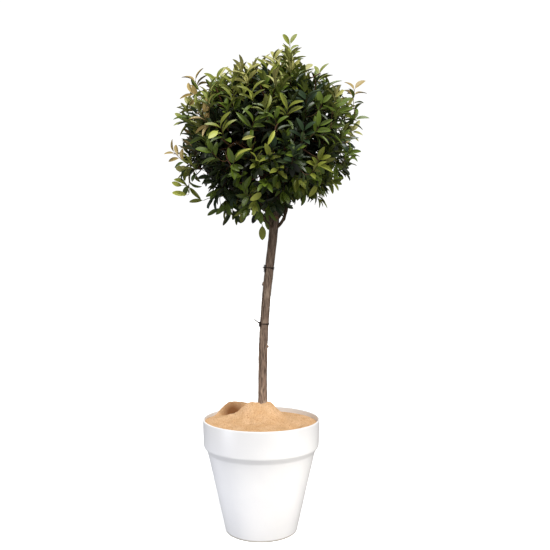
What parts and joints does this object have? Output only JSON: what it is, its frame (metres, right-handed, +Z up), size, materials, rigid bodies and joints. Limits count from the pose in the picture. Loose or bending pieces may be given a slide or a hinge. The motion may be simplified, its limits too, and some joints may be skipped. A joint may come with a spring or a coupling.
{
  "type": "standard bay topiary",
  "caption": "Standard bay tree with a loose round head of glossy leaves on a slim bare trunk, planted in a round white tapered pot filled with sand.",
  "frame": {"origin": "centre of the pot's flat underside", "axes": "+Z up along the trunk; seen from the picture's side +X is to the right and +Y away from the eye"},
  "size_m": [0.6934, 0.6346, 1.6756],
  "materials": {
    "pot": "satin",
    "sand": "matte",
    "bark": "matte",
    "young_bark": "matte",
    "foliage": "satin",
    "wire": "satin"
  },
  "bodies": {
    "root": {"pot": "pot", "sand": "sand", "trunk": "bark", "tie_lower": "wire", "tie_upper": "wire", "bough_top": "young_bark", "bough_upper_left": "young_bark", "bough_upper_right": "young_bark", "bough_upper_back_right": "young_bark", "bough_upper_back_left": "young_bark", "bough_upper_front_left": "young_bark", "bough_upper_front_right": "young_bark", "bough_middle_right": "young_bark", "bough_middle_back_right": "young_bark", "bough_middle_back": "young_bark", "bough_middle_back_left": "young_bark", "bough_middle_left": "young_bark", "bough_middle_front_left": "young_bark", "bough_middle_front": "young_bark", "bough_middle_front_right": "young_bark", "bough_lower_right": "young_bark", "bough_lower_back_right": "young_bark", "bough_lower_back_left": "young_bark", "bough_lower_left": "young_bark", "bough_lower_front_left": "young_bark", "bough_lower_front_right": "young_bark", "bough_under_right": "young_bark", "bough_under_back": "young_bark", "bough_under_left": "young_bark", "bough_under_front": "young_bark", "foliage_hanging_leaf": "foliage", "foliage_top": "foliage", "foliage_upper_left": "foliage", "foliage_upper_right": "foliage", "foliage_upper_back_right": "foliage", "foliage_upper_back_left": "foliage", "foliage_upper_front_left": "foliage", "foliage_upper_front_right": "foliage", "foliage_middle_right": "foliage", "foliage_middle_back_right": "foliage", "foliage_middle_back": "foliage", "foliage_middle_back_left": "foliage", "foliage_middle_left": "foliage", "foliage_middle_front_left": "foliage", "foliage_middle_front": "foliage", "foliage_middle_front_right": "foliage", "foliage_lower_right": "foliage", "foliage_lower_back_right": "foliage", "foliage_lower_back_left": "foliage", "foliage_lower_left": "foliage", "foliage_lower_front_left": "foliage", "foliage_lower_front_right": "foliage", "foliage_under_right": "foliage", "foliage_under_back": "foliage", "foliage_under_left": "foliage", "foliage_under_front": "foliage"}
  },
  "joints": []
}
